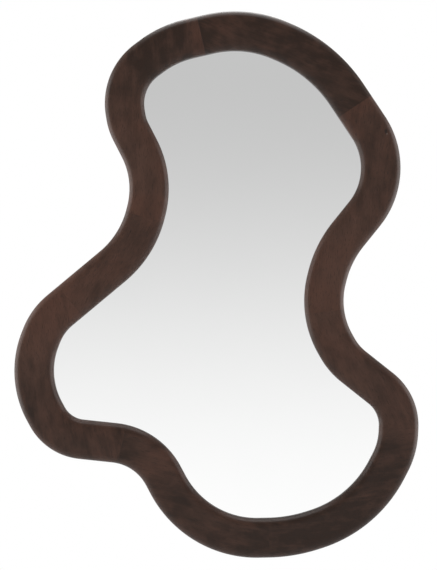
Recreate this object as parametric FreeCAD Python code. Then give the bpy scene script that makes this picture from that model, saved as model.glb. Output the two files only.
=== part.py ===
import FreeCAD, Part
import math
import os

# An irregular shaped wall mirror, in millimetres. It hangs upright: +Z is up, the front faces -Y and the
# wall is the plane Y = 0. The origin lies on the wall, midway between the two hooks that carry the mirror
# and level with them. Seen from the front, +X is to the right.

# Frame rails. The rails follow one closed midline, and every other outline is an offset from it.
overall_height = 800.0
rail_width = 57.5
front_edge_radius = 10.0
back_edge_radius = 2.0

# What lies behind the sight edge, from front to back. The board ends flush with the back of the rails.
sight_recess = 17.0
glass_thickness = 4.0
foam_thickness = 3.0
board_thickness = 4.0
lip_width = 8.0
glass_edge_gap = 1.5
spacer_length = 24.0
foam_inset = 3.0
ledge_width = 10.0
board_edge_gap = 1.0

# Loose tenons across the joints of the rails
tenon_thickness = 8.0
tenon_width = 28.0
tenon_length = 44.0
tenon_glue_gap = 0.1
tenon_end_gap = 0.5

# Countersunk screws of the backing board
board_screws_per_rail = 2
board_screw_radius = 1.5
board_screw_head_radius = 3.2
board_screw_length = 14.0

# Pan-head screws of the hanger straps
strap_screw_radius = 1.75
strap_screw_head_radius = 3.6
strap_screw_head_height = 2.2
strap_screw_head_edge = 1.3
strap_screw_length = 16.0

# Room round a screw: in the sheet that it passes through, and in the pilot hole that it bites in
screw_play = 0.2
pilot_play = 0.05
pilot_end_gap = 0.8
cross_slot_width = 1.0
cross_slot_depth = 1.3
cross_slot_share = 0.6

# Hangers on the back: a folded strap with a barrel, and the D-ring that swings in it. The hooks lie below the
# top of the frame by a share of its height, so that they keep their place between the joints of the rails.
hook_drop_share = 0.2525
strap_width = 14.0
strap_length = 46.0
strap_thickness = 1.5
strap_corner_radius = 3.0
strap_first_screw = 27.0
strap_screw_spacing = 12.0
curl_angle = 290.0
ring_wire_radius = 1.5
ring_play = 0.06
ring_inner_width = 18.0
ring_inner_reach = 16.0
ring_corner_radius = 3.0

# Rubber bumpers between the frame and the wall
bumper_height = 8.0
bumper_foot_radius = 9.0
bumper_face_radius = 7.5
bumper_edge_radius = 1.2

# Corners of the midline, each with its place across and up and the radius that rounds it, clockwise from the
# top as seen from the front, measured from the lower left corner of the drawing.
outline_corners = [
    ("crown", 338, 779, 167),
    ("right_shoulder", 452, 730, 211),
    ("right_lobe", 562, 565, 108),
    ("right_waist_top", 467, 447, 158),
    ("right_waist", 444, 358, 128),
    ("right_waist_foot", 482, 291, 93),
    ("right_hip", 564, 226, 69),
    ("right_flank", 561, 160, 106),
    ("right_heel", 511, 64, 177),
    ("bottom_right", 405, 30, 223),
    ("bottom_left", 267, 27, 147),
    ("left_dip", 195, 163, 92),
    ("left_hip", 64, 177, 64),
    ("left_lobe", 16, 265, 125),
    ("left_lobe_top", 48, 347, 92),
    ("left_waist_foot", 180, 457, 146),
    ("left_waist", 205, 556, 130),
    ("left_waist_top", 165, 634, 74),
    ("left_shoulder", 154, 700, 79),
    ("top_left", 226, 753, 149),
]

# Rails in the same order, with the length of each along the midline. The first starts a little before the
# arc of the first corner, and the last takes what is left.
first_joint = -11.0
rail_lengths = [
    ("rail_top", 266),
    ("rail_right_shoulder", 332),
    ("rail_right_waist", 210),
    ("rail_right_hip", 274),
    ("rail_bottom", 270),
    ("rail_left_hip", 313),
    ("rail_left_waist", 167),
    ("rail_left_shoulder", None),
]

# Corners whose bends carry a wall bumper
bumper_corners = ["right_shoulder", "right_hip", "left_hip", "left_shoulder"]

# Places across the rails, as offsets from the midline, outwards positive
outer_edge = rail_width / 2
sight_edge = -rail_width / 2
rabbet_wall = sight_edge + lip_width
board_wall = rabbet_wall + ledge_width
board_edge = board_wall - board_edge_gap
glass_edge = rabbet_wall - glass_edge_gap
board_screw_line = (rabbet_wall + board_edge) / 2
land_middle = (board_wall + outer_edge) / 2
tenon_middle = (rabbet_wall + outer_edge) / 2

# Places through the depth
back_face = -bumper_height
ledge_face = back_face - board_thickness
glass_back = ledge_face - foam_thickness
lip_face = glass_back - glass_thickness
front_face = lip_face - sight_recess

# Places on the hangers, measured from the hooks, which lie at height 0
ring_half_width = ring_inner_width / 2 + ring_wire_radius
ring_reach = ring_inner_reach + ring_wire_radius
barrel_bore_radius = ring_wire_radius + ring_play
barrel_outer_radius = barrel_bore_radius + strap_thickness
barrel_y = back_face + barrel_outer_radius
barrel_z = -ring_inner_reach
strap_middle_z = barrel_z - strap_length / 2

# How far a cutter runs past the face that it opens, and how near two places count as one
tool_overrun = 1.0
closeness = 0.001

axis_x = FreeCAD.Vector(1, 0, 0)
axis_y = FreeCAD.Vector(0, 1, 0)
axis_z = FreeCAD.Vector(0, 0, 1)


def outward(heading):
    # the normal that points out of the mirror, for a heading that goes clockwise round it
    return FreeCAD.Vector(-heading.z, 0, heading.x)


def corner_cut(radius):
    # how far the middle of a quarter arc lies from each side of the corner that it rounds
    return radius * (1 - math.sqrt(0.5))


class Run:
    # a straight stretch of the midline
    def __init__(self, start, end):
        self.start = start
        self.length = (end - start).Length
        self.direction = (end - start) / self.length

    def heading(self, distance):
        return self.direction

    def place(self, distance, offset):
        return self.start + self.direction * distance + outward(self.direction) * offset

    def edge(self, begin, finish, offset):
        return Part.LineSegment(self.place(begin, offset), self.place(finish, offset)).toShape()


class Bend:
    # a round stretch of the midline. side is 1 where it turns left along the way and -1 where it turns right
    def __init__(self, start, heading, side, radius, turn):
        self.start_heading = heading
        self.side = side
        self.radius = radius
        self.length = radius * turn
        self.centre = start + outward(heading) * (side * radius)

    def heading(self, distance):
        turned = self.side * distance / self.radius
        return self.start_heading * math.cos(turned) + outward(self.start_heading) * math.sin(turned)

    def place(self, distance, offset):
        reach = self.side * self.radius - offset
        return self.centre - outward(self.heading(distance)) * reach

    def edge(self, begin, finish, offset):
        middle = (begin + finish) / 2
        points = [self.place(distance, offset) for distance in (begin, middle, finish)]
        return Part.Arc(*points).toShape()


def draw_midline(scale, shift):
    # bends at the corners, joined by straight runs that are tangent to them
    corners = [FreeCAD.Vector(x, 0, z) * scale + shift for name, x, z, radius in outline_corners]
    radii = [radius * scale for name, x, z, radius in outline_corners]
    count = len(corners)
    headings = []
    for index in range(count):
        step = corners[(index + 1) % count] - corners[index]
        headings.append(step / step.Length)
    starts = []
    bends = []
    ends = []
    for index in range(count):
        before = headings[index - 1]
        after = headings[index]
        turn = before.getAngle(after)
        side = 1 if outward(before).dot(after) > 0 else -1
        reach = radii[index] * math.tan(turn / 2)
        starts.append(corners[index] - before * reach)
        ends.append(corners[index] + after * reach)
        bends.append(Bend(starts[index], before, side, radii[index], turn))
    pieces = []
    for index in range(count):
        pieces.append(bends[index])
        pieces.append(Run(ends[index], starts[(index + 1) % count]))
    return pieces


def stretch(pieces, begin, finish, offset):
    # the edges of an offset of the midline between two stations, which may lie before its start
    lap = sum(piece.length for piece in pieces)
    edges = []
    for first in (-lap, 0.0, lap):
        for piece in pieces:
            low = max(begin - first, 0.0)
            high = min(finish - first, piece.length)
            if high - low > closeness:
                edges.append(piece.edge(low, high, offset))
            first += piece.length
    return edges


def closed_wire(pieces, offset):
    return Part.Wire(stretch(pieces, 0.0, sum(piece.length for piece in pieces), offset))


def land_crossings(pieces, height):
    # where the middle of the rails' back land crosses a height, at the far left and the far right
    land = closed_wire(pieces, land_middle)
    box = land.BoundBox
    level = Part.LineSegment(
        FreeCAD.Vector(box.XMin - tool_overrun, 0, height),
        FreeCAD.Vector(box.XMax + tool_overrun, 0, height),
    ).toShape()
    crossings = [vertex.X for vertex in land.section(level).Vertexes]
    return min(crossings), max(crossings)


def place_midline():
    # scales the drawing to the overall height, then moves it so that the hooks lie about the origin
    drawn_height = closed_wire(draw_midline(1.0, FreeCAD.Vector()), 0.0).BoundBox.ZLength
    scale = (overall_height - rail_width) / drawn_height
    scaled = draw_midline(scale, FreeCAD.Vector())
    hook_height = closed_wire(scaled, outer_edge).BoundBox.ZMax - overall_height * hook_drop_share
    left, right = land_crossings(scaled, hook_height + strap_middle_z)
    shift = FreeCAD.Vector(-(left + right) / 2, 0, -hook_height)
    return draw_midline(scale, shift), scale, (right - left) / 2


midline, drawing_scale, hook_half_spacing = place_midline()
midline_length = sum(piece.length for piece in midline)


def find(station):
    # the piece of the midline at a station, and the distance along that piece
    distance = station % midline_length
    for piece in midline[:-1]:
        if distance <= piece.length:
            return piece, distance
        distance -= piece.length
    return midline[-1], distance


def at(station, offset, depth):
    # a point of the mirror: a station along the midline, an offset across the rail and a place in the depth
    piece, distance = find(station)
    return piece.place(distance, offset) + axis_y * depth


def heading_at(station):
    piece, distance = find(station)
    return piece.heading(distance)


def rail_stations():
    # each rail's name, with the stations of its two ends
    stations = []
    begin = first_joint * drawing_scale
    lap_end = begin + midline_length
    for name, length in rail_lengths:
        finish = lap_end if length is None else begin + length * drawing_scale
        stations.append((name, begin, finish))
        begin = finish
    return stations


def rail_section(station):
    # the section of a rail: eased outer edges, a lip in front of the glass, and a ledge for the board
    def point(offset, depth):
        return at(station, offset, depth)

    def line(start, end):
        return Part.LineSegment(point(*start), point(*end)).toShape()

    def easing(start, middle, end):
        return Part.Arc(point(*start), point(*middle), point(*end)).toShape()

    front = front_edge_radius
    back = back_edge_radius
    front_cut = corner_cut(front)
    back_cut = corner_cut(back)
    edges = [
        line((sight_edge + front, front_face), (outer_edge - front, front_face)),
        easing(
            (outer_edge - front, front_face),
            (outer_edge - front_cut, front_face + front_cut),
            (outer_edge, front_face + front),
        ),
        line((outer_edge, front_face + front), (outer_edge, back_face - back)),
        easing(
            (outer_edge, back_face - back),
            (outer_edge - back_cut, back_face - back_cut),
            (outer_edge - back, back_face),
        ),
        line((outer_edge - back, back_face), (board_wall, back_face)),
        line((board_wall, back_face), (board_wall, ledge_face)),
        line((board_wall, ledge_face), (rabbet_wall, ledge_face)),
        line((rabbet_wall, ledge_face), (rabbet_wall, lip_face)),
        line((rabbet_wall, lip_face), (sight_edge, lip_face)),
        line((sight_edge, lip_face), (sight_edge, front_face + front)),
        easing(
            (sight_edge, front_face + front),
            (sight_edge + front_cut, front_face + front_cut),
            (sight_edge + front, front_face),
        ),
    ]
    return Part.Face(Part.Wire(edges))


def band(begin, finish, inner_offset, outer_offset, front, back):
    # a solid strip along part of the midline, between two offsets and two depths
    inner = stretch(midline, begin, finish, inner_offset)
    outer = stretch(midline, begin, finish, outer_offset)
    cap_start = Part.LineSegment(at(begin, inner_offset, 0.0), at(begin, outer_offset, 0.0)).toShape()
    cap_end = Part.LineSegment(at(finish, outer_offset, 0.0), at(finish, inner_offset, 0.0)).toShape()
    face = Part.Face(Part.Wire([cap_start] + outer + [cap_end] + inner[::-1]))
    face.translate(axis_y * front)
    return face.extrude(axis_y * (back - front))


def panel(edge_offset, front, back):
    # a sheet cut to an offset of the midline
    face = Part.Face(closed_wire(midline, edge_offset))
    face.translate(axis_y * front)
    return face.extrude(axis_y * (back - front))


def turned(profile):
    # a solid turned about the Y axis, from (radius, depth) points. A screw's point is as long as it is thick.
    points = [FreeCAD.Vector(radius, depth, 0) for radius, depth in profile]
    face = Part.Face(Part.makePolygon(points + points[:1]))
    return face.revolve(FreeCAD.Vector(), axis_y, 360)


def tenon_block(joint, side_gap, end_gap):
    # a loose tenon with round sides, or its mortises when the gaps are given
    heading = heading_at(joint)
    half_width = tenon_width / 2 + side_gap
    half_thickness = tenon_thickness / 2 + side_gap
    flat = half_width - half_thickness
    half_length = tenon_length / 2 + end_gap
    start = at(joint, tenon_middle, (front_face + back_face) / 2) - heading * half_length

    def point(across, through):
        return start + outward(heading) * across + axis_y * through

    def side(across):
        # the flat face on one side of the block, and the round edge that it runs into
        through = half_thickness if across > 0 else -half_thickness
        return [
            Part.LineSegment(point(-across, -through), point(across, -through)).toShape(),
            Part.Arc(point(across, -through), point(across + through, 0), point(across, through)).toShape(),
        ]

    edges = side(flat) + side(-flat)
    return Part.Face(Part.Wire(edges)).extrude(heading * (2 * half_length))


def cross_slot(head_radius, top):
    # the driver's cross in a screw head
    length = 2 * head_radius * cross_slot_share
    slots = []
    for along_x, along_z in ((length, cross_slot_width), (cross_slot_width, length)):
        corner = FreeCAD.Vector(-along_x / 2, top - cross_slot_depth, -along_z / 2)
        slots.append(Part.makeBox(along_x, cross_slot_depth + tool_overrun, along_z, corner))
    return slots[0].fuse(slots[1])


def board_screw():
    # head flush at depth 0, point towards the front
    radius = board_screw_radius
    head = board_screw_head_radius
    length = board_screw_length
    body = turned([(0, 0), (head, 0), (radius, radius - head), (radius, 2 * radius - length), (0, -length)])
    return body.cut(cross_slot(head, 0.0))


def board_screw_hole():
    radius = board_screw_radius + screw_play
    head = board_screw_head_radius
    bottom = -board_thickness - tool_overrun
    profile = [(0, tool_overrun), (head, tool_overrun), (head, 0), (radius, radius - head), (radius, bottom)]
    return turned(profile + [(0, bottom)])


def board_screw_pilot():
    radius = board_screw_radius + pilot_play
    bottom = -board_screw_length - pilot_end_gap
    return turned([(0, 0), (radius, 0), (radius, bottom), (0, bottom)])


def strap_screw():
    # the head's underside at depth 0, point towards the front
    radius = strap_screw_radius
    length = strap_screw_length
    height = strap_screw_head_height
    body = turned([(0, 0), (radius, 0), (radius, 2 * radius - length), (0, -length)])
    head = Part.makeCylinder(strap_screw_head_radius, height, FreeCAD.Vector(), axis_y)
    rim = [edge for edge in head.Edges if edge.BoundBox.YMin > height / 2]
    head = head.makeFillet(strap_screw_head_edge, rim)
    return body.fuse(head).removeSplitter().cut(cross_slot(strap_screw_head_radius, height))


def strap_screw_hole():
    radius = strap_screw_radius + screw_play
    bottom = -strap_thickness - tool_overrun
    return turned([(0, tool_overrun), (radius, tool_overrun), (radius, bottom), (0, bottom)])


def strap_screw_pilot():
    radius = strap_screw_radius + pilot_play
    bottom = -strap_screw_length - pilot_end_gap
    return turned([(0, 0), (radius, 0), (radius, bottom), (0, bottom)])


def board_screw_places():
    places = []
    for name, begin, finish in rail_stations():
        for index in range(board_screws_per_rail):
            station = begin + (finish - begin) * (index + 0.5) / board_screws_per_rail
            places.append(at(station, board_screw_line, back_face))
    return places


def strap_screw_places(hanger_x):
    # where the undersides of the heads lie on the strap
    heights = [barrel_z - strap_first_screw, barrel_z - strap_first_screw - strap_screw_spacing]
    return [FreeCAD.Vector(hanger_x, back_face + strap_thickness, height) for height in heights]


def hanger_places():
    return {"left": -hook_half_spacing, "right": hook_half_spacing}


def moved(shape, place):
    copy = shape.copy()
    copy.translate(place)
    return copy


def copies(shape, places):
    return [moved(shape, place) for place in places]


def rail_cutters():
    # everything that is let into the rails
    cutters = [tenon_block(begin, tenon_glue_gap, tenon_end_gap) for name, begin, finish in rail_stations()]
    cutters += copies(board_screw_pilot(), board_screw_places())
    for hanger_x in hanger_places().values():
        cutters += copies(strap_screw_pilot(), strap_screw_places(hanger_x))
    return cutters


def make_rails():
    cutters = rail_cutters()
    rails = {}
    for name, begin, finish in rail_stations():
        way = Part.Wire(stretch(midline, begin, finish, 0.0))
        rail = way.makePipe(rail_section(begin))
        near = [cutter for cutter in cutters if cutter.BoundBox.intersect(rail.BoundBox)]
        rails[name] = rail.cut(near)
    return rails


def make_tenons():
    return [tenon_block(begin, 0.0, 0.0) for name, begin, finish in rail_stations()]


def make_spacers():
    spacers = []
    for name, begin, finish in rail_stations():
        middle = (begin + finish) / 2
        half = spacer_length / 2
        spacers.append(band(middle - half, middle + half, glass_edge, rabbet_wall, lip_face, glass_back))
    return spacers


def make_board():
    board = panel(board_edge, ledge_face, back_face)
    return board.cut(copies(board_screw_hole(), board_screw_places()))


def make_strap(hanger_x):
    # flat on the rails' back, curled round the bar of the ring at its upper end
    centre = FreeCAD.Vector(hanger_x - strap_width / 2, barrel_y, barrel_z)

    def on_circle(radius, angle):
        turned_by = math.radians(angle)
        return centre + axis_z * (radius * math.sin(turned_by)) - axis_y * (radius * math.cos(turned_by))

    def curl(radius):
        points = [on_circle(radius, angle) for angle in (0.0, curl_angle / 2, curl_angle)]
        return Part.Arc(*points).toShape()

    outer_foot = on_circle(barrel_outer_radius, 0.0) - axis_z * strap_length
    inner_foot = on_circle(barrel_bore_radius, 0.0) - axis_z * strap_length
    tips = [on_circle(radius, curl_angle) for radius in (barrel_outer_radius, barrel_bore_radius)]
    edges = [
        Part.LineSegment(outer_foot, on_circle(barrel_outer_radius, 0.0)).toShape(),
        curl(barrel_outer_radius),
        Part.LineSegment(tips[0], tips[1]).toShape(),
        curl(barrel_bore_radius),
        Part.LineSegment(on_circle(barrel_bore_radius, 0.0), inner_foot).toShape(),
        Part.LineSegment(inner_foot, outer_foot).toShape(),
    ]
    strap = Part.Face(Part.Wire(edges)).extrude(axis_x * strap_width)
    foot = [edge for edge in strap.Edges if edge.BoundBox.ZMax < strap.BoundBox.ZMin + closeness]
    corners = [edge for edge in foot if edge.BoundBox.XLength < closeness]
    strap = strap.makeFillet(strap_corner_radius, corners)
    return strap.cut(copies(strap_screw_hole(), strap_screw_places(hanger_x)))


def make_ring(hanger_x):
    # bent from round wire: a straight bar in the barrel, two arms and a half-round bow, hanging down
    half = ring_half_width
    corner = ring_corner_radius
    bow_z = ring_half_width - ring_reach
    cut = corner_cut(corner)

    def point(x, z):
        return FreeCAD.Vector(hanger_x + x, barrel_y, barrel_z + z)

    edges = [
        Part.LineSegment(point(corner - half, 0), point(half - corner, 0)).toShape(),
        Part.Arc(point(half - corner, 0), point(half - cut, -cut), point(half, -corner)).toShape(),
        Part.LineSegment(point(half, -corner), point(half, bow_z)).toShape(),
        Part.Arc(point(half, bow_z), point(0, -ring_reach), point(-half, bow_z)).toShape(),
        Part.LineSegment(point(-half, bow_z), point(-half, -corner)).toShape(),
        Part.Arc(point(-half, -corner), point(cut - half, -cut), point(corner - half, 0)).toShape(),
    ]
    section = Part.Wire(Part.Circle(point(corner - half, 0), axis_x, ring_wire_radius).toShape())
    return Part.Wire(edges).makePipe(Part.Face(section))


def make_bumpers():
    bumper = Part.makeCone(bumper_foot_radius, bumper_face_radius, bumper_height, FreeCAD.Vector(), axis_y)
    rim = [edge for edge in bumper.Edges if edge.BoundBox.YMin > bumper_height / 2]
    bumper = bumper.makeFillet(bumper_edge_radius, rim)
    return copies(bumper, bumper_places())


def bumper_places():
    places = []
    corner_names = [name for name, x, z, radius in outline_corners]
    for name in bumper_corners:
        bend = midline[2 * corner_names.index(name)]  # each corner gives a bend and a run
        places.append(bend.place(bend.length / 2, land_middle) + axis_y * back_face)
    return places


def build_nodes():
    nodes = make_rails()
    nodes["joint_tenons"] = Part.makeCompound(make_tenons())
    nodes["mirror_glass"] = panel(glass_edge, lip_face, glass_back)
    nodes["glass_spacers"] = Part.makeCompound(make_spacers())
    nodes["foam_liner"] = panel(glass_edge - foam_inset, glass_back, ledge_face)
    nodes["backing_board"] = make_board()
    nodes["backing_screws"] = Part.makeCompound(copies(board_screw(), board_screw_places()))
    hanger_screws = []
    for side, hanger_x in hanger_places().items():
        nodes["hanger_" + side] = make_strap(hanger_x)
        nodes["ring_" + side] = make_ring(hanger_x)
        hanger_screws += copies(strap_screw(), strap_screw_places(hanger_x))
    nodes["hanger_screws"] = Part.makeCompound(hanger_screws)
    nodes["wall_bumpers"] = Part.makeCompound(make_bumpers())
    return nodes


def write_parts():
    os.makedirs("parts", exist_ok=True)
    for name, shape in build_nodes().items():
        shape.exportStep("parts/" + name + ".step")
        volume = round(shape.Volume / 1000, 2)
        print(name, len(shape.Solids), "solids", volume, "cm3", "valid" if shape.isValid() else "NOT VALID")
    print("hooks", round(2 * hook_half_spacing, 2), "mm apart, midline", round(midline_length, 1), "mm long")


write_parts()
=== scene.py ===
import math

import bmesh
import bpy
from mathutils import Matrix, Vector, noise


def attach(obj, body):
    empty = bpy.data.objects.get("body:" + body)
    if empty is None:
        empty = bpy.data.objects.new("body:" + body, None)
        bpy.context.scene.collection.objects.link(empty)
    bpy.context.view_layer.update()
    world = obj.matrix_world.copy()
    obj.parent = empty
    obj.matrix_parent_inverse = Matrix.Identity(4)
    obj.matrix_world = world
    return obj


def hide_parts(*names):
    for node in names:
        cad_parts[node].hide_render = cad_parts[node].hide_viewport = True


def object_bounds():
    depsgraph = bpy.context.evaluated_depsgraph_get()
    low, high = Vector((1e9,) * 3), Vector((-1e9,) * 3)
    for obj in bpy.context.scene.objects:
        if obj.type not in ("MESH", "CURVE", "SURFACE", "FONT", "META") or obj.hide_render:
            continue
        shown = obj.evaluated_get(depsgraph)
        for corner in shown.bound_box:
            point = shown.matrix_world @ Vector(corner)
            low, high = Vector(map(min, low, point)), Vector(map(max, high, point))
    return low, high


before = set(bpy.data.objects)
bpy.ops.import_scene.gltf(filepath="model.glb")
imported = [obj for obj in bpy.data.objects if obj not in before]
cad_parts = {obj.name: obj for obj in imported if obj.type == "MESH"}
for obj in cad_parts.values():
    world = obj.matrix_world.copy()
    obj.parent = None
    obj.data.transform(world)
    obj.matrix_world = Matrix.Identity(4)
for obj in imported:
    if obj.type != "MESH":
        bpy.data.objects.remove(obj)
cadBox = [list(corner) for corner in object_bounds()]
print("frame loaded:", len(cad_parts), "nodes")

axisY = Vector((0, 1, 0))
mm = 0.001
tiny = 0.000001  # a length too short to matter
weldReach = 0.00001  # points nearer than this become one
bodyName = "mirror_body"

# the outline that every ring of the mirror follows
outline = {
    "frontFace": -0.036,  # the frame's face, with the wall at zero
    "backFace": -0.008,
    "faceWidth": 0.0575,
    "sweepStep": 0.003,  # longest facet along the way round
    # corners of the drawing in millimetres, clockwise from the crown: across, up, and the bend's radius
    "corners": [
        (338, 779, 167), (452, 730, 211), (562, 565, 108), (467, 447, 158), (444, 358, 128),
        (482, 291, 93), (564, 226, 69), (561, 160, 106), (511, 64, 177), (405, 30, 223),
        (267, 27, 147), (195, 163, 92), (64, 177, 64), (16, 265, 125), (48, 347, 92),
        (180, 457, 146), (205, 556, 130), (165, 634, 74), (154, 700, 79), (226, 753, 149),
    ],
    "samples": 24,  # points read on each stretch to find the drawing's size
}


def outwardOf(heading):
    return Vector((-heading.z, 0, heading.x))  # out of the mirror, for a heading clockwise round it


def drawStretches(scale, shift):
    # bends at the corners and straight runs between them, each with its start, heading and length
    corners = [Vector((x, 0, z)) * scale + shift for x, z, radius in outline["corners"]]
    radii = [radius * scale for x, z, radius in outline["corners"]]
    headings = [(corners[(i + 1) % len(corners)] - corners[i]).normalized() for i in range(len(corners))]
    bends = []
    for i, radius in enumerate(radii):
        before, after = headings[i - 1], headings[i]
        turn = before.angle(after)
        side = 1 if outwardOf(before).dot(after) > 0 else -1
        reach = radius * math.tan(turn / 2)
        start = corners[i] - before * reach
        bends.append({"start": start, "end": corners[i] + after * reach, "heading": before, "side": side,
                      "radius": radius, "centre": start + outwardOf(before) * (side * radius),
                      "length": radius * turn})
    stretches = []
    for i, bend in enumerate(bends):
        gap = bends[(i + 1) % len(bends)]["start"] - bend["end"]
        stretches.append(bend)
        stretches.append({"start": bend["end"], "heading": headings[i], "side": 0, "length": gap.length})
    return stretches


def placeOn(stretch, distance):
    # the point of the midline at a distance along one stretch, and the heading there
    if stretch["side"] == 0:
        return stretch["start"] + stretch["heading"] * distance, stretch["heading"]
    turned = Matrix.Rotation(-stretch["side"] * distance / stretch["radius"], 3, axisY)
    return stretch["centre"] + turned @ (stretch["start"] - stretch["centre"]), turned @ stretch["heading"]


def placeAt(station):
    distance = station % lapLength
    for stretch in stretches:
        if distance <= stretch["length"]:
            return placeOn(stretch, distance)
        distance -= stretch["length"]
    return placeOn(stretches[0], 0.0)


def alongOn(stretch, point):
    # how far along a stretch a point of the sweep lies
    if stretch["side"] == 0:
        return (point - stretch["start"]).dot(stretch["heading"])
    spoke = stretch["start"] - stretch["centre"]
    reach = point - stretch["centre"]
    reach.y = 0
    turned = spoke.angle(reach)
    return turned * stretch["radius"] * (1 if reach.dot(stretch["heading"]) >= 0 else -1)


def onlyKind(items, kind):
    return [item for item in items if isinstance(item, kind)]


def sweep(bm, ring, begin, finish, along=None, origin=0.0):
    # spins the ring's edges round each bend and slides them down each run; gives the last ring
    first = 0.0
    for lap in (0, 1):
        for stretch in stretches:
            low = max(begin - first, 0.0)
            high = min(finish - first, stretch["length"])
            if high - low > tiny:
                steps = max(1, math.ceil((high - low) / outline["sweepStep"]))
                older = set(bm.verts)
                if stretch["side"] == 0:
                    stride = stretch["heading"] * ((high - low) / steps)
                    made = bmesh.ops.spin(bm, geom=ring, cent=(0, 0, 0), axis=axisY, dvec=stride,
                                          angle=0.0, steps=steps, use_duplicate=False)
                else:
                    angle = -stretch["side"] * (high - low) / stretch["radius"]
                    made = bmesh.ops.spin(bm, geom=ring, cent=stretch["centre"], axis=axisY,
                                          angle=angle, steps=steps, use_duplicate=False)
                if along is not None:
                    for vert in bm.verts:
                        if vert not in older:
                            vert[along] = first + alongOn(stretch, vert.co) - origin
                ring = onlyKind(made["geom_last"], bmesh.types.BMEdge)
                if not ring:  # a lone point was swept
                    ring = onlyKind(made["geom_last"], bmesh.types.BMVert)
            first += stretch["length"]
    return ring


drawn = drawStretches(mm, Vector())
samples = outline["samples"]
drawnPath = [placeOn(stretch, stretch["length"] * k / samples)[0]
             for stretch in drawn for k in range(samples)]
drawnLow = min(point.z for point in drawnPath)
drawnHigh = max(point.z for point in drawnPath)
drawnLeft = min(point.x for point in drawnPath)
drawnRight = max(point.x for point in drawnPath)
boxLow, boxHigh = Vector(cadBox[0]), Vector(cadBox[1])
fitScale = (boxHigh.z - boxLow.z - outline["faceWidth"]) / (drawnHigh - drawnLow)
fitShift = Vector((
    (boxLow.x + boxHigh.x - fitScale * (drawnLeft + drawnRight)) / 2, 0,
    (boxLow.z + boxHigh.z - fitScale * (drawnLow + drawnHigh)) / 2,
))
stretches = drawStretches(mm * fitScale, fitShift)
lapLength = sum(stretch["length"] for stretch in stretches)
print("outline", round(lapLength, 4), "m round")


def finishPiece(bm, name, materials, body, sharpAngle=32.0):
    # turns the faces out, marks the sharp edges, and makes the object
    bmesh.ops.recalc_face_normals(bm, faces=bm.faces[:])
    for face in bm.faces:
        face.smooth = True
    for edge in bm.edges:
        edge.smooth = len(edge.link_faces) == 2 and edge.calc_face_angle(0.0) < math.radians(sharpAngle)
    mesh = bpy.data.meshes.new(name)
    bm.to_mesh(mesh)
    bm.free()
    for material in materials:
        mesh.materials.append(material)
    piece = bpy.data.objects.new(name, mesh)
    bpy.context.scene.collection.objects.link(piece)
    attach(piece, body)
    return piece


# short ways to lay material nodes
def startMaterial(name):
    material = bpy.data.materials.new(name)
    material.use_nodes = True
    nodes = material.node_tree.nodes
    links = material.node_tree.links
    return material, nodes, links, nodes["Principled BSDF"]


def startGroup(name, inputs, outputs):
    # inputs are (name, kind, default), outputs are names of plain values
    tree = bpy.data.node_groups.new(name, "ShaderNodeTree")
    for label, kind, default in inputs:
        socket = tree.interface.new_socket(name=label, in_out="INPUT", socket_type=kind)
        if default is not None:
            socket.default_value = default
    for label in outputs:
        tree.interface.new_socket(name=label, in_out="OUTPUT", socket_type="NodeSocketFloat")
    return tree, tree.nodes.new("NodeGroupInput"), tree.nodes.new("NodeGroupOutput")


def placeGroup(nodes, tree, **values):
    node = nodes.new("ShaderNodeGroup")
    node.node_tree = tree
    for label, value in values.items():
        node.inputs[label].default_value = value
    return node


def addNoise(nodes, links, vector, scale, detail=2.0, roughness=0.5, distortion=0.0):
    node = nodes.new("ShaderNodeTexNoise")
    node.inputs["Scale"].default_value = scale
    node.inputs["Detail"].default_value = detail
    node.inputs["Roughness"].default_value = roughness
    node.inputs["Distortion"].default_value = distortion
    links.new(vector, node.inputs["Vector"])
    return node.outputs["Fac"]


def addMath(nodes, links, operation, first, second, clamp=False):
    node = nodes.new("ShaderNodeMath")
    node.operation = operation
    node.use_clamp = clamp
    for socket, value in zip(node.inputs, (first, second)):
        if isinstance(value, (int, float)):
            socket.default_value = value
        else:
            links.new(value, socket)
    return node.outputs[0]


def addRange(nodes, links, value, fromLow, fromHigh, toLow, toHigh):
    node = nodes.new("ShaderNodeMapRange")
    node.interpolation_type = "SMOOTHSTEP"
    numbers = {"From Min": fromLow, "From Max": fromHigh, "To Min": toLow, "To Max": toHigh}
    for label, number in numbers.items():
        node.inputs[label].default_value = number
    links.new(value, node.inputs["Value"])
    return node.outputs["Result"]


def addMapping(nodes, links, vector, turn=(0, 0, 0), shift=(0, 0, 0), scale=(1, 1, 1)):
    node = nodes.new("ShaderNodeMapping")
    node.inputs["Rotation"].default_value = turn
    node.inputs["Location"].default_value = shift
    node.inputs["Scale"].default_value = scale
    links.new(vector, node.inputs["Vector"])
    return node.outputs["Vector"]


def addMix(nodes, links, factor, first, second):
    node = nodes.new("ShaderNodeMix")
    node.data_type = "RGBA"
    links.new(factor, node.inputs["Factor"])
    for label, value in (("A", first), ("B", second)):
        socket = [s for s in node.inputs if s.name == label and s.type == "RGBA"][0]
        if isinstance(value, tuple):
            socket.default_value = (*value, 1)
        else:
            links.new(value, socket)
    return [s for s in node.outputs if s.type == "RGBA"][0]


def addLength(nodes, links, vector):
    node = nodes.new("ShaderNodeVectorMath")
    node.operation = "LENGTH"
    links.new(vector, node.inputs[0])
    return node.outputs["Value"]


def addSpot(nodes, links, place, centre, radius, strength):
    # a soft upright oval, full strength in its core
    squeeze = 0.6  # its width against its height
    core = 0.3
    x, y, z = centre
    near = addMapping(nodes, links, place, shift=(-x, -y, -z * squeeze), scale=(1, 1, squeeze))
    return addRange(nodes, links, addLength(nodes, links, near), radius * core, radius, strength, 0.0)


def addBump(nodes, links, shader, height, strength, distance):
    node = nodes.new("ShaderNodeBump")
    node.inputs["Strength"].default_value = strength
    node.inputs["Distance"].default_value = distance
    links.new(height, node.inputs["Height"])
    links.new(node.outputs["Normal"], shader.inputs["Normal"])


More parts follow.
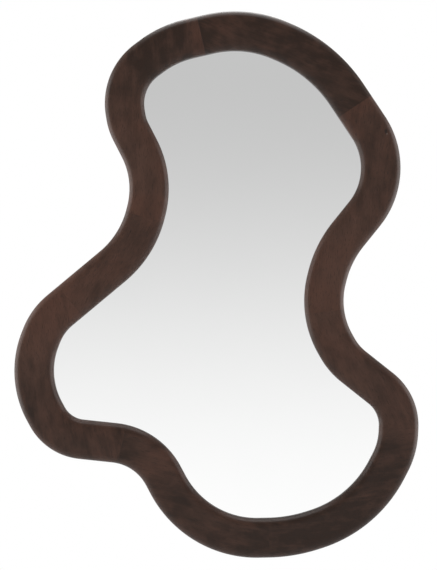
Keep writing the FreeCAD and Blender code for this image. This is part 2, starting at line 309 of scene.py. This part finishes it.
def objectPlace(nodes):
    return nodes.new("ShaderNodeTexCoord").outputs["Object"]


# effects that several finishes share
grainLook = {
    "wanderScale": 5.0,
    "wanderDetail": 1.5,
    "wander": (0.0, 0.02, 0.03),  # how far the grain drifts across the board
    # marks per metre along the grain and across it, detail, roughness
    "fields": {
        "figure": (9, 26, 4.0, 0.6),
        "clouds": (34, 60, 3.0, 0.55),
        "streaks": (14, 260, 5.0, 0.65),
        "bands": (7, 70, 2.0, 0.5),
        "dashes": (110, 1700, 1.0, 0.5),
    },
    "lineEdges": (0.54, 0.74),  # where a band turns into a dark line
    "poreEdges": (0.6, 0.72),
}


def makeBoardGrain():
    # board space: X runs along the grain, in metres
    tree, inside, outside = startGroup(
        "boardGrain",
        [("Vector", "NodeSocketVector", None), ("Dark Lines", "NodeSocketFloat", 0.5)],
        ["Figure", "Clouds", "Streaks", "Lines", "Pores"],
    )
    nodes, links = tree.nodes, tree.links
    place = inside.outputs["Vector"]
    wander = nodes.new("ShaderNodeTexNoise")
    wander.inputs["Scale"].default_value = grainLook["wanderScale"]
    wander.inputs["Detail"].default_value = grainLook["wanderDetail"]
    links.new(place, wander.inputs["Vector"])
    centred = nodes.new("ShaderNodeVectorMath")
    centred.operation = "SUBTRACT"
    centred.inputs[1].default_value = (0.5, 0.5, 0.5)
    links.new(wander.outputs["Color"], centred.inputs[0])
    bent = nodes.new("ShaderNodeVectorMath")
    bent.operation = "MULTIPLY_ADD"
    bent.inputs[1].default_value = grainLook["wander"]
    links.new(centred.outputs[0], bent.inputs[0])
    links.new(place, bent.inputs[2])
    fields = {}
    for effect, (lengthwise, across, detail, roughness) in grainLook["fields"].items():
        spread = addMapping(nodes, links, bent.outputs[0], scale=(lengthwise, across, across))
        fields[effect] = addNoise(nodes, links, spread, 1.0, detail, roughness)
    bands = addRange(nodes, links, fields["bands"], *grainLook["lineEdges"], 0.0, 1.0)
    links.new(fields["figure"], outside.inputs["Figure"])
    links.new(fields["clouds"], outside.inputs["Clouds"])
    links.new(fields["streaks"], outside.inputs["Streaks"])
    lines = addMath(nodes, links, "MULTIPLY", bands, inside.outputs["Dark Lines"])
    links.new(lines, outside.inputs["Lines"])
    pores = addRange(nodes, links, fields["dashes"], *grainLook["poreEdges"], 0.0, 1.0)
    links.new(pores, outside.inputs["Pores"])
    return tree


handlingLook = {
    "filmDetail": 4.0,
    "speckShare": 22.0,  # how many times finer the specks are than the film
    "speckDetail": 1.0,
    "speckEdges": (0.66, 0.74),
}


def makeHandling():
    # faint uneven film of dust and finger marks; Scale is in marks per metre
    tree, inside, outside = startGroup(
        "handling",
        [("Vector", "NodeSocketVector", None), ("Scale", "NodeSocketFloat", 30.0)],
        ["Film", "Specks"],
    )
    nodes, links = tree.nodes, tree.links
    cloud = nodes.new("ShaderNodeTexNoise")
    cloud.inputs["Detail"].default_value = handlingLook["filmDetail"]
    links.new(inside.outputs["Vector"], cloud.inputs["Vector"])
    links.new(inside.outputs["Scale"], cloud.inputs["Scale"])
    links.new(cloud.outputs["Fac"], outside.inputs["Film"])
    finer = addMath(nodes, links, "MULTIPLY", inside.outputs["Scale"], handlingLook["speckShare"])
    grit = nodes.new("ShaderNodeTexNoise")
    grit.inputs["Detail"].default_value = handlingLook["speckDetail"]
    links.new(inside.outputs["Vector"], grit.inputs["Vector"])
    links.new(finer, grit.inputs["Scale"])
    specks = addRange(nodes, links, grit.outputs["Fac"], *handlingLook["speckEdges"], 0.0, 1.0)
    links.new(specks, outside.inputs["Specks"])
    return tree


boardGrain = makeBoardGrain()
handling = makeHandling()


def layHandling(nodes, links, scale):
    film = placeGroup(nodes, handling, Scale=scale)
    links.new(objectPlace(nodes), film.inputs["Vector"])
    return film.outputs


# the frame: eight stained rails, butt-jointed round the outline
rails = {
    "lipWidth": 0.008,
    "ledgeWidth": 0.010,
    "ledgeDepth": 0.004,  # the backing board's thickness
    "lipBack": -0.019,
    "frontEase": 0.010,
    "backEase": 0.002,
    "easeFacets": 6,
    "faceCuts": 9,  # lets the face waver between its edges
    "jointEase": 0.0001,  # hairline along each glued joint
    "jointStain": 0.0010,  # how far the end grain's dark reaches
    "handSanding": 0.00012,  # how far the face wavers from flat
    "sandingScale": 28,  # wavers per metre
    "grainShift": (0.7, 0.31, 0.53),  # each board is cut this far from the one before
    "firstJoint": -11,  # the top joint, from the start of the crown's bend, in the drawing's millimetres
    # node, length along the midline, grain turn in degrees from the rail's own chord, how strong its dark
    # lines are, dark of its first joint, and the stain along it as (share of the length, light, red)
    "boards": [
        ("rail_top", 266, 4, 0.2, 0.9,
         [(0, -0.25, 0.2), (0.03, 0.05, 0.3), (0.1, 0.35, 0.6), (0.22, 0.15, 0.3), (1, 0.12, 0.3)]),
        ("rail_right_shoulder", 332, 4, 0.2, 0.3,
         [(0, 0.65, 1.0), (0.2, 0.45, 0.3), (0.5, 0.6, 0.15), (0.65, 0.85, 0.35), (1, 0.75, 0.5)]),
        ("rail_right_waist", 210, -4, 0.2, 0.0,
         [(0, 0.75, 0.5), (0.5, 0.55, 0.4), (1, 0.7, 0.4)]),
        ("rail_right_hip", 274, -34, 0.7, 0.0,
         [(0, 0.6, 0.4), (0.3, 0.12, 0.2), (0.8, 0.08, 0.2), (1, 0.2, 0.22)]),
        ("rail_bottom", 270, 20, 0.5, 0.0,
         [(0, 0.2, 0.22), (0.15, 0.32, 0.3), (0.4, 0.42, 0.4), (0.6, 0.2, 0.3), (0.75, 0.55, 0.45),
          (1, 0.25, 0.4)]),
        ("rail_left_hip", 313, -8, 0.4, 0.3,
         [(0, 0.2, 0.4), (0.15, 0.5, 0.4), (0.35, 0.4, 0.4), (0.6, 0.65, 0.45), (1, 0.8, 0.5)]),
        ("rail_left_waist", 167, 15, 0.6, 0.0,
         [(0, 0.8, 0.5), (0.3, 0.6, 0.4), (1, 0.7, 0.45)]),
        ("rail_left_shoulder", None, 17, 0.3, 0.0,
         [(0, 0.8, 0.5), (0.2, 0.85, 0.5), (0.55, 0.45, 0.35), (0.7, 0.1, 0.3), (0.93, 0.15, 0.5),
          (0.96, 0.45, 1.0), (1, 0.5, 1.0)]),
    ],
    "tenon": {"width": 0.028, "thickness": 0.008, "length": 0.044, "gap": 0.0001, "endGap": 0.0005,
              "facets": 24},
}

stain = {
    "darkest": (0.0100, 0.0055, 0.0038),
    "dark": (0.0155, 0.0056, 0.0020),
    "brown": (0.0550, 0.0262, 0.0172),
    "red": (0.0700, 0.0240, 0.0130),
    "swings": {"Figure": 0.15, "Clouds": 0.22, "Streaks": 0.11},  # how far each effect lightens or darkens
    "swingEdges": (0.30, 0.70),
    "lineDark": 0.45,
    "poreDark": 0.7,
    "jointDark": 0.75,
    "redPatches": 14.0,  # patches per metre
    "patchEdges": (0.35, 0.65),
    "patchRed": (0.2, 0.8),
    "roughness": (0.44, 0.58),
    "poreRoughness": 0.2,
    "shine": 0.14,
    "coat": 0.28,
    "coatRoughness": 0.25,
    "pinKnot": (0.1778, -0.0360, 0.0262),
    "pinKnotRadius": 0.0032,
    "pinKnotDark": 0.9,
    "fleck": (0.1792, -0.0360, 0.0222),  # a pale crumb at the knot's lower end
    "fleckRadius": 0.0007,
    "fleckColour": (0.25, 0.22, 0.20),
    "fleckPale": 0.8,
    "streakHeight": 0.6,
    "bump": (0.35, 0.00025),
}


def stainLight(nodes, links, grain, light):
    # a board's own light, with the grain's effects on it
    for effect, swing in stain["swings"].items():
        change = addRange(nodes, links, grain.outputs[effect], *stain["swingEdges"], -swing, swing)
        light = addMath(nodes, links, "ADD", light, change)
    lines = addMath(nodes, links, "MULTIPLY", grain.outputs["Lines"], stain["lineDark"])
    light = addMath(nodes, links, "SUBTRACT", light, lines)
    light = addMath(nodes, links, "MINIMUM", light, 1.0)
    return addMath(nodes, links, "MAXIMUM", light, 0.0)


def stainColour(nodes, links, place, board, grain):
    # boardTone holds the stain's light, its red, and the dark of a joint's end grain
    tone = nodes.new("ShaderNodeAttribute")
    tone.attribute_name = "boardTone"
    parts = nodes.new("ShaderNodeSeparateXYZ")
    links.new(tone.outputs["Vector"], parts.inputs[0])
    light = stainLight(nodes, links, grain, parts.outputs["X"])
    colour = addMix(nodes, links, light, stain["dark"], stain["brown"])
    cloud = addNoise(nodes, links, board, stain["redPatches"])
    patches = addRange(nodes, links, cloud, *stain["patchEdges"], *stain["patchRed"])
    redness = addMath(nodes, links, "MULTIPLY", parts.outputs["Y"], patches, clamp=True)
    colour = addMix(nodes, links, addMath(nodes, links, "MULTIPLY", redness, light), colour, stain["red"])
    pores = addMath(nodes, links, "MULTIPLY", grain.outputs["Pores"], stain["poreDark"])
    colour = addMix(nodes, links, pores, colour, stain["darkest"])
    knot = addSpot(nodes, links, place, stain["pinKnot"], stain["pinKnotRadius"], stain["pinKnotDark"])
    colour = addMix(nodes, links, knot, colour, stain["darkest"])
    fleck = addSpot(nodes, links, place, stain["fleck"], stain["fleckRadius"], stain["fleckPale"])
    colour = addMix(nodes, links, fleck, colour, stain["fleckColour"])
    joint = addMath(nodes, links, "MULTIPLY", parts.outputs["Z"], stain["jointDark"])
    return addMix(nodes, links, joint, colour, stain["darkest"])


def makeStainedWood(name, grainTurn, darkLines, shift):
    material, nodes, links, shader = startMaterial(name)
    place = objectPlace(nodes)
    board = addMapping(nodes, links, place, turn=(0, grainTurn, 0), shift=shift)
    grain = placeGroup(nodes, boardGrain, **{"Dark Lines": darkLines})
    links.new(board, grain.inputs["Vector"])
    streaks, pores = grain.outputs["Streaks"], grain.outputs["Pores"]
    links.new(stainColour(nodes, links, place, board, grain), shader.inputs["Base Color"])
    rough = addRange(nodes, links, streaks, 0.3, 0.7, *stain["roughness"])
    poreRough = addMath(nodes, links, "MULTIPLY", pores, stain["poreRoughness"])
    links.new(addMath(nodes, links, "ADD", rough, poreRough), shader.inputs["Roughness"])
    shader.inputs["Specular IOR Level"].default_value = stain["shine"]
    shader.inputs["Coat Weight"].default_value = stain["coat"]
    shader.inputs["Coat Roughness"].default_value = stain["coatRoughness"]
    ridges = addMath(nodes, links, "MULTIPLY", streaks, stain["streakHeight"])
    addBump(nodes, links, shader, addMath(nodes, links, "SUBTRACT", ridges, pores), *stain["bump"])
    return material


def railSection(bm, station):
    # the rail's section at a station, as a ring of edges with its eased corners rounded
    point, heading = placeAt(station)
    across = outwardOf(heading)
    half = outline["faceWidth"] / 2
    rabbet = rails["lipWidth"] - half
    ledge = rabbet + rails["ledgeWidth"]
    front, back, lipBack = outline["frontFace"], outline["backFace"], rails["lipBack"]
    shelf = back - rails["ledgeDepth"]
    frontEase, backEase = rails["frontEase"], rails["backEase"]
    corners = [
        (-half, front, frontEase), (half, front, frontEase), (half, back, backEase),
        (ledge, back, 0), (ledge, shelf, 0), (rabbet, shelf, 0), (rabbet, lipBack, 0), (-half, lipBack, 0),
    ]
    places = [point + across * offset + axisY * depth for offset, depth, ease in corners]
    bm.faces.new([bm.verts.new(place) for place in places])
    for place, (offset, depth, ease) in zip(places, corners):
        if ease:
            corner = min(bm.verts, key=lambda vert: (vert.co - place).length)
            bmesh.ops.bevel(bm, geom=[corner], offset=ease, offset_type="OFFSET", affect="VERTICES",
                            segments=rails["easeFacets"], profile=0.5, material=-1)
    bmesh.ops.delete(bm, geom=bm.faces[:], context="FACES_ONLY")
    widest = max(bm.edges, key=lambda edge: edge.calc_length())
    bmesh.ops.subdivide_edges(bm, edges=[widest], cuts=rails["faceCuts"])
    return bm.edges[:]


def stainAt(stops, share):
    for (low, lightLow, redLow), (high, lightHigh, redHigh) in zip(stops, stops[1:]):
        if share <= high:
            part = (share - low) / (high - low)
            return lightLow + (lightHigh - lightLow) * part, redLow + (redHigh - redLow) * part
    return stops[-1][1:]


def capWithMortise(bm, ring, station, inward):
    # closes the end of a rail round a pocket for its loose tenon
    tenon = rails["tenon"]
    point, heading = placeAt(station)
    across = outwardOf(heading)
    depth = (outline["frontFace"] + outline["backFace"]) / 2
    middle = point + across * (rails["lipWidth"] / 2) + axisY * depth
    radius = tenon["thickness"] / 2 + tenon["gap"]
    flat = (tenon["width"] - tenon["thickness"]) / 2
    turn = Matrix((across, axisY, across.cross(axisY))).transposed().to_4x4()
    halfStep = Matrix.Rotation(math.pi / tenon["facets"], 4, "Z")
    pocket = bmesh.ops.create_circle(bm, cap_ends=False, segments=tenon["facets"], radius=radius,
                                     matrix=Matrix.Translation(middle) @ turn @ halfStep)["verts"]
    for vert in pocket:
        vert.co += across * (flat if (vert.co - middle).dot(across) > 0 else -flat)
    rim = [edge for edge in bm.edges if edge.verts[0] in pocket and edge.verts[1] in pocket]
    bmesh.ops.triangle_fill(bm, use_beauty=True, use_dissolve=False, edges=ring + rim, normal=heading)
    made = bmesh.ops.extrude_edge_only(bm, edges=rim)["geom"]
    floor = onlyKind(made, bmesh.types.BMVert)
    bmesh.ops.translate(bm, verts=floor, vec=heading * (inward * (tenon["length"] / 2 + tenon["endGap"])))
    sides = onlyKind(made, bmesh.types.BMEdge)
    floorRim = [edge for edge in sides if all(vert in floor for vert in edge.verts)]
    bmesh.ops.contextual_create(bm, geom=floorRim)


def makeRail(node, begin, finish, material, jointDark, nextDark, stops):
    bm = bmesh.new()
    along = bm.verts.layers.float.new("along")
    tone = bm.verts.layers.float_vector.new("boardTone")
    firstRing = railSection(bm, begin)
    ease, soak = rails["jointEase"], rails["jointStain"]
    lastRing = firstRing
    legs = [begin, begin + ease, begin + soak, finish - soak, finish - ease, finish]
    for low, high in zip(legs, legs[1:]):
        lastRing = sweep(bm, lastRing, low, high, along, begin)
    length = finish - begin
    bmesh.ops.recalc_face_normals(bm, faces=bm.faces[:])
    bm.normal_update()
    for vert in bm.verts:
        nearStart = vert[along] < ease * 1.5
        nearFinish = vert[along] > length - ease * 1.5
        light, red = stainAt(stops, min(max(vert[along] / length, 0.0), 1.0))
        vert[tone] = Vector((light, red, jointDark if nearStart else nextDark if nearFinish else 0.0))
        depth = (vert.co.y - outline["frontFace"]) / rails["frontEase"]  # the waver dies out round the edge
        waver = rails["handSanding"] * noise.noise(vert.co * rails["sandingScale"])
        vert.co.y += waver * max(0.0, 1.0 - depth)
    for ring in (firstRing, lastRing):
        for vert in {vert for edge in ring for vert in edge.verts}:
            vert.co -= vert.normal * ease
    capWithMortise(bm, firstRing, begin, 1)
    capWithMortise(bm, lastRing, finish, -1)
    piece = finishPiece(bm, node.replace("rail", "stained"), [material], bodyName)
    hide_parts(node)


def makeFrame():
    boards = rails["boards"]
    begin = (rails["firstJoint"] * mm * fitScale) % lapLength
    lapEnd = begin + lapLength
    for index, (node, length, grainTurn, darkLines, jointDark, stops) in enumerate(boards):
        finish = lapEnd if length is None else begin + length * mm * fitScale
        chord = placeAt(finish)[0] - placeAt(begin)[0]
        angle = math.atan2(chord.z, chord.x) + math.radians(grainTurn)
        name = "stained" + node.title().replace("_", "")
        shift = tuple(step * index for step in rails["grainShift"])
        nextDark = boards[(index + 1) % len(boards)][4]
        wood = makeStainedWood(name, angle, darkLines, shift)
        makeRail(node, begin, finish, wood, jointDark, nextDark, stops)
        begin = finish


makeFrame()
print("frame rails made")


# the mirror pane and the foam behind it
def makePanel(size):
    # a sheet cut to an offset of the midline, its rims eased
    bm = bmesh.new()
    point, heading = placeAt(0.0)
    first = bm.verts.new(point + outwardOf(heading) * size["offset"] + axisY * size["front"])
    sweep(bm, [first], 0.0, lapLength)
    bmesh.ops.remove_doubles(bm, verts=bm.verts[:], dist=weldReach)
    face = bmesh.ops.contextual_create(bm, geom=bm.edges[:])["faces"][0]
    made = bmesh.ops.extrude_face_region(bm, geom=[face])["geom"]
    rear = onlyKind(made, bmesh.types.BMVert)
    bmesh.ops.translate(bm, verts=rear, vec=axisY * (size["back"] - size["front"]))
    rims = [edge for edge in bm.edges if abs(edge.verts[0].co.y - edge.verts[1].co.y) < tiny]
    bmesh.ops.bevel(bm, geom=rims, offset=size["arris"], offset_type="OFFSET", affect="EDGES", segments=2,
                    profile=0.5, material=-1)
    return bm


pane = {
    "offset": -0.02225,  # from the midline, inside the rabbet with a gap round it
    "front": -0.019,
    "back": -0.015,
    "arris": 0.0005,
    "silver": (0.985, 0.988, 0.985),
    "haze": 0.012,
    "hazeColour": (0.6, 0.6, 0.6),
    "polish": 0.004,
    "paint": (0.26, 0.28, 0.29),
    "edgeDark": (0.10, 0.22, 0.18),
    "edgePale": (0.20, 0.36, 0.30),
}


def makeSilver():
    material, nodes, links, shader = startMaterial("silveredFace")
    film = layHandling(nodes, links, 9.0)["Film"]
    faint = addRange(nodes, links, film, 0.35, 0.7, 0.0, pane["haze"])
    links.new(addMix(nodes, links, faint, pane["silver"], pane["hazeColour"]), shader.inputs["Base Color"])
    links.new(addMath(nodes, links, "ADD", faint, pane["polish"]), shader.inputs["Roughness"])
    shader.inputs["Metallic"].default_value = 1.0
    return material


def makeBackPaint():
    material, nodes, links, shader = startMaterial("paneBackPaint")
    film = layHandling(nodes, links, 45.0)["Film"]
    dark = tuple(value * 0.75 for value in pane["paint"])
    links.new(addMix(nodes, links, film, dark, pane["paint"]), shader.inputs["Base Color"])
    links.new(addRange(nodes, links, film, 0.2, 0.8, 0.42, 0.6), shader.inputs["Roughness"])
    addBump(nodes, links, shader, film, 0.2, 0.0002)
    return material


def makePaneEdge():
    material, nodes, links, shader = startMaterial("paneEdge")
    film = layHandling(nodes, links, 60.0)["Film"]
    links.new(addMix(nodes, links, film, pane["edgeDark"], pane["edgePale"]), shader.inputs["Base Color"])
    links.new(addRange(nodes, links, film, 0.2, 0.8, 0.15, 0.35), shader.inputs["Roughness"])
    return material


def makePane():
    bm = makePanel(pane)
    bmesh.ops.recalc_face_normals(bm, faces=bm.faces[:])
    bm.normal_update()
    for face in bm.faces:
        face.material_index = 0 if face.normal.y < -0.2 else 1 if face.normal.y > 0.9 else 2
    piece = finishPiece(bm, "mirrorPane", [makeSilver(), makeBackPaint(), makePaneEdge()], bodyName, 20.0)
    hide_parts("mirror_glass")


foam = {
    "offset": -0.02525,
    "front": -0.015,
    "back": -0.012,
    "arris": 0.0006,
    "white": (0.80, 0.80, 0.78),
    "cells": 1400.0,  # cells per metre
}


def makeFoamLiner():
    material, nodes, links, shader = startMaterial("closedCellFoam")
    cells = nodes.new("ShaderNodeTexVoronoi")
    cells.feature = "SMOOTH_F1"
    cells.inputs["Scale"].default_value = foam["cells"]
    links.new(objectPlace(nodes), cells.inputs["Vector"])
    skin = addRange(nodes, links, cells.outputs["Distance"], 0.0, 0.8, 1.0, 0.0)
    dull = tuple(value * 0.8 for value in foam["white"])
    links.new(addMix(nodes, links, skin, dull, foam["white"]), shader.inputs["Base Color"])
    links.new(addRange(nodes, links, skin, 0.0, 1.0, 0.7, 0.9), shader.inputs["Roughness"])
    addBump(nodes, links, shader, skin, 0.5, 0.0002)
    piece = finishPiece(makePanel(foam), "foamLiner", [material], bodyName)
    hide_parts("foam_liner")


makePane()
makeFoamLiner()
print("pane and foam made")


# finishes for the parts that come straight from the model
def dress(node, material):
    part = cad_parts[node]
    part.data.materials.clear()
    part.data.materials.append(material)


hardboard = {
    "brown": (0.190, 0.108, 0.058),
    "shade": (0.160, 0.088, 0.047),  # faint clouds
    "dark": (0.085, 0.045, 0.024),
    "fibre": (0.300, 0.190, 0.112),
    "cloudScale": 11.0,
    "gritScale": 300.0,
    "fibreScale": (260, 1200, 1500),
    "lies": [(0.4, "fibre"), (1.1, "dark"), (1.8, "fibre"), (2.6, "dark")],  # turn in radians, tint
    "shine": 0.3,
}


def makeHardboard():
    # pressed fibre, smooth face outwards: short pale and dark fibres lie every way
    material, nodes, links, shader = startMaterial("hardboard")
    place = objectPlace(nodes)
    cloud = addNoise(nodes, links, place, hardboard["cloudScale"], 3.0)
    shaded = addRange(nodes, links, cloud, 0.3, 0.7, 0.0, 1.0)
    base = addMix(nodes, links, shaded, hardboard["shade"], hardboard["brown"])
    height = addNoise(nodes, links, place, hardboard["gritScale"], 3.0, 0.6)
    for turn, tint in hardboard["lies"]:
        lain = addMapping(nodes, links, place, turn=(0, turn, 0), shift=(turn, 0, 0),
                          scale=hardboard["fibreScale"])
        tufts = addNoise(nodes, links, lain, 1.0, detail=1.0, distortion=0.4)
        fibre = addRange(nodes, links, tufts, 0.60, 0.70, 0.0, 0.6)
        base = addMix(nodes, links, fibre, base, hardboard[tint])
        height = addMath(nodes, links, "ADD", height, fibre)
    links.new(base, shader.inputs["Base Color"])
    links.new(addRange(nodes, links, cloud, 0.3, 0.7, 0.60, 0.52), shader.inputs["Roughness"])
    shader.inputs["Specular IOR Level"].default_value = hardboard["shine"]
    addBump(nodes, links, shader, height, 0.3, 0.0002)
    return material


# plated steel: clean colour, dulled colour, roughness, and marks per metre along each axis
plated = {
    "zincPlate": ((0.56, 0.54, 0.48), (0.34, 0.33, 0.30), 0.36, (900, 900, 900)),
    "nickelStrap": ((0.52, 0.50, 0.46), (0.33, 0.32, 0.30), 0.32, (1500, 300, 60)),
    "nickelWire": ((0.56, 0.54, 0.50), (0.36, 0.35, 0.33), 0.26, (700, 700, 700)),
}


def makePlated(name):
    # fine lines from drawing or tumbling, a thin film, and dull specks
    clean, dull, roughness, lie = plated[name]
    material, nodes, links, shader = startMaterial(name)
    marks = layHandling(nodes, links, 120.0)
    film, specks = marks["Film"], marks["Specks"]
    lines = addNoise(nodes, links, addMapping(nodes, links, objectPlace(nodes), scale=lie), 1.0, 3.0, 0.6)
    worn = addMath(nodes, links, "MULTIPLY", film, 0.8, clamp=True)
    tint = addMix(nodes, links, worn, clean, dull)
    speckColour = tuple(value * 0.5 for value in dull)
    links.new(addMix(nodes, links, specks, tint, speckColour), shader.inputs["Base Color"])
    rough = addRange(nodes, links, lines, 0.25, 0.75, roughness - 0.07, roughness + 0.1)
    links.new(rough, shader.inputs["Roughness"])
    shader.inputs["Metallic"].default_value = 1.0
    addBump(nodes, links, shader, lines, 0.15, 0.0001)
    return material


# rubber: clean colour, dusty colour
rubber = {
    "spacerRubber": ((0.030, 0.030, 0.030), (0.09, 0.09, 0.085)),
    "bumperRubber": ((0.022, 0.022, 0.023), (0.10, 0.095, 0.09)),
}


def makeRubber(name):
    clean, dusty = rubber[name]
    material, nodes, links, shader = startMaterial(name)
    marks = layHandling(nodes, links, 160.0)
    film, specks = marks["Film"], marks["Specks"]
    dust = addRange(nodes, links, film, 0.45, 0.75, 0.0, 0.5)
    tint = addMix(nodes, links, dust, clean, dusty)
    links.new(addMix(nodes, links, specks, tint, dusty), shader.inputs["Base Color"])
    links.new(addRange(nodes, links, film, 0.3, 0.7, 0.62, 0.8), shader.inputs["Roughness"])
    addBump(nodes, links, shader, specks, 0.3, 0.0001)
    return material


beech = {
    "dark": (0.38, 0.23, 0.13),
    "pale": (0.55, 0.37, 0.23),
    "pores": (0.22, 0.12, 0.06),
    "turn": 0.8,
}


def makeBeech():
    material, nodes, links, shader = startMaterial("bareBeech")
    grain = placeGroup(nodes, boardGrain)
    board = addMapping(nodes, links, objectPlace(nodes), turn=(0, beech["turn"], 0))
    links.new(board, grain.inputs["Vector"])
    streaked = addMix(nodes, links, grain.outputs["Streaks"], beech["dark"], beech["pale"])
    colour = addMix(nodes, links, grain.outputs["Pores"], streaked, beech["pores"])
    links.new(colour, shader.inputs["Base Color"])
    rough = addRange(nodes, links, grain.outputs["Figure"], 0.3, 0.7, 0.55, 0.7)
    links.new(rough, shader.inputs["Roughness"])
    addBump(nodes, links, shader, grain.outputs["Streaks"], 0.3, 0.0002)
    return material


zinc = makePlated("zincPlate")
strapSteel = makePlated("nickelStrap")
ringSteel = makePlated("nickelWire")
dress("joint_tenons", makeBeech())
dress("glass_spacers", makeRubber("spacerRubber"))
dress("wall_bumpers", makeRubber("bumperRubber"))
dress("backing_board", makeHardboard())
dress("backing_screws", zinc)
dress("hanger_screws", zinc)
for side in ("left", "right"):
    dress("hanger_" + side, strapSteel)
    dress("ring_" + side, ringSteel)
print("finishes laid on")


# light, floor and camera
studio = {
    "distance": 4.6,
    "viewHeight": 0.8327,  # height of the picture at the frame's face
    "centre": (-0.067, -0.1986),
    "fill": 0.31,
    # what polished things reflect, from low to high and eased between: (height of the direction, light)
    "surround": [(-0.40, 0.60), (-0.15, 1.0), (-0.08, 1.0), (0.07, 0.56)],
    "aim": (-0.07, 0, -0.2),  # where every lamp points
    # soft lamps: name, place, width, height, power, and whether polished things show it
    "lamps": [
        ("key", (-1.7, -2.4, 1.7), 1.6, 1.2, 29.0, False),
        ("leftPanel", (-2.0, 0.0, -0.1), 2.2, 2.2, 44.0, True),
        ("rightPanel", (1.9, 0.0, -0.1), 2.2, 2.2, 44.0, True),
        ("topPanel", (-0.07, 0.0, 1.8), 2.2, 2.2, 44.0, True),
        ("rearPanel", (-0.07, 1.8, 2.2), 1.6, 1.2, 36.0, True),
    ],
    "floorHeight": -1.15,
    "floorRadius": 5.0,
    "floorShade": (0.80, 0.80, 0.80),
    "floorPale": (0.86, 0.86, 0.86),
    "floorFade": (0.7, 2.4),  # from here to there the floor goes over into white
}


def makeSurround():
    world = bpy.data.worlds.new("studio")
    bpy.context.scene.world = world
    world.use_nodes = True
    nodes, links = world.node_tree.nodes, world.node_tree.links
    path = nodes.new("ShaderNodeLightPath")
    compass = nodes.new("ShaderNodeTexCoord")
    parts = nodes.new("ShaderNodeSeparateXYZ")
    links.new(compass.outputs["Generated"], parts.inputs[0])
    ramp = nodes.new("ShaderNodeValToRGB")
    ramp.color_ramp.interpolation = "EASE"
    stops = studio["surround"]
    low, high = stops[0][0], stops[-1][0]
    while len(ramp.color_ramp.elements) < len(stops):
        ramp.color_ramp.elements.new(0.5)
    for element, (height, light) in zip(ramp.color_ramp.elements, stops):
        element.position = (height - low) / (high - low)
        element.color = (light, light, light, 1)
    lift = addMath(nodes, links, "ADD", parts.outputs["Z"], -low)
    links.new(addMath(nodes, links, "DIVIDE", lift, high - low, clamp=True), ramp.inputs["Fac"])
    fill = (studio["fill"],) * 3
    colour = addMix(nodes, links, path.outputs["Is Glossy Ray"], fill, ramp.outputs["Color"])
    straight, through = path.outputs["Is Camera Ray"], path.outputs["Is Transmission Ray"]
    seen = addMath(nodes, links, "MAXIMUM", straight, through)
    white = (1.0, 1.0, 1.0)
    links.new(addMix(nodes, links, seen, colour, white), nodes["Background"].inputs["Color"])


def makeLamps():
    for name, place, width, height, power, shown in studio["lamps"]:
        light = bpy.data.lights.new(name, "AREA")
        light.shape = "RECTANGLE"
        light.size = width
        light.size_y = height
        light.energy = power
        lamp = bpy.data.objects.new(name, light)
        lamp.visible_glossy = shown
        lamp.location = place
        lamp.rotation_euler = (Vector(studio["aim"]) - lamp.location).to_track_quat("-Z", "Y").to_euler()
        bpy.context.scene.collection.objects.link(lamp)


def makeFloorMaterial():
    # pale, and plain white further out to whatever looks at it
    material, nodes, links, shader = startMaterial("paleFloor")
    place = objectPlace(nodes)
    speck = addNoise(nodes, links, place, 6.0, 3.0)
    colour = addMix(nodes, links, speck, studio["floorShade"], studio["floorPale"])
    links.new(colour, shader.inputs["Base Color"])
    shader.inputs["Roughness"].default_value = 0.8
    far = addLength(nodes, links, addMapping(nodes, links, place, scale=(1, 1, 0)))
    path = nodes.new("ShaderNodeLightPath")
    seen = addMath(nodes, links, "MAXIMUM", path.outputs["Is Camera Ray"], path.outputs["Is Glossy Ray"])
    seen = addMath(nodes, links, "MAXIMUM", seen, path.outputs["Is Transmission Ray"])
    away = addRange(nodes, links, far, *studio["floorFade"], 0.0, 1.0)
    white = nodes.new("ShaderNodeEmission")
    mixed = nodes.new("ShaderNodeMixShader")
    links.new(addMath(nodes, links, "MULTIPLY", seen, away), mixed.inputs["Fac"])
    links.new(shader.outputs[0], mixed.inputs[1])
    links.new(white.outputs[0], mixed.inputs[2])
    links.new(mixed.outputs[0], nodes["Material Output"].inputs["Surface"])
    return material


def makeFloor():
    bm = bmesh.new()
    bmesh.ops.create_circle(bm, cap_ends=True, segments=64, radius=studio["floorRadius"],
                            matrix=Matrix.Translation((0, 0, studio["floorHeight"])))
    mesh = bpy.data.meshes.new("floor")
    bm.to_mesh(mesh)
    bm.free()
    mesh.materials.append(makeFloorMaterial())
    floor = bpy.data.objects.new("floor", mesh)
    bpy.context.scene.collection.objects.link(floor)


def makeCamera():
    lens = bpy.data.cameras.new("camera")
    lens.lens = lens.sensor_width * studio["distance"] / studio["viewHeight"]
    camera = bpy.data.objects.new("camera", lens)
    across, up = studio["centre"]
    camera.location = (across, outline["frontFace"] - studio["distance"], up)
    camera.rotation_euler = (math.radians(90), 0, 0)
    bpy.context.scene.collection.objects.link(camera)
    bpy.context.scene.camera = camera
    bpy.context.scene.view_settings.view_transform = "Standard"


makeSurround()
makeLamps()
makeFloor()
makeCamera()
print("studio ready")
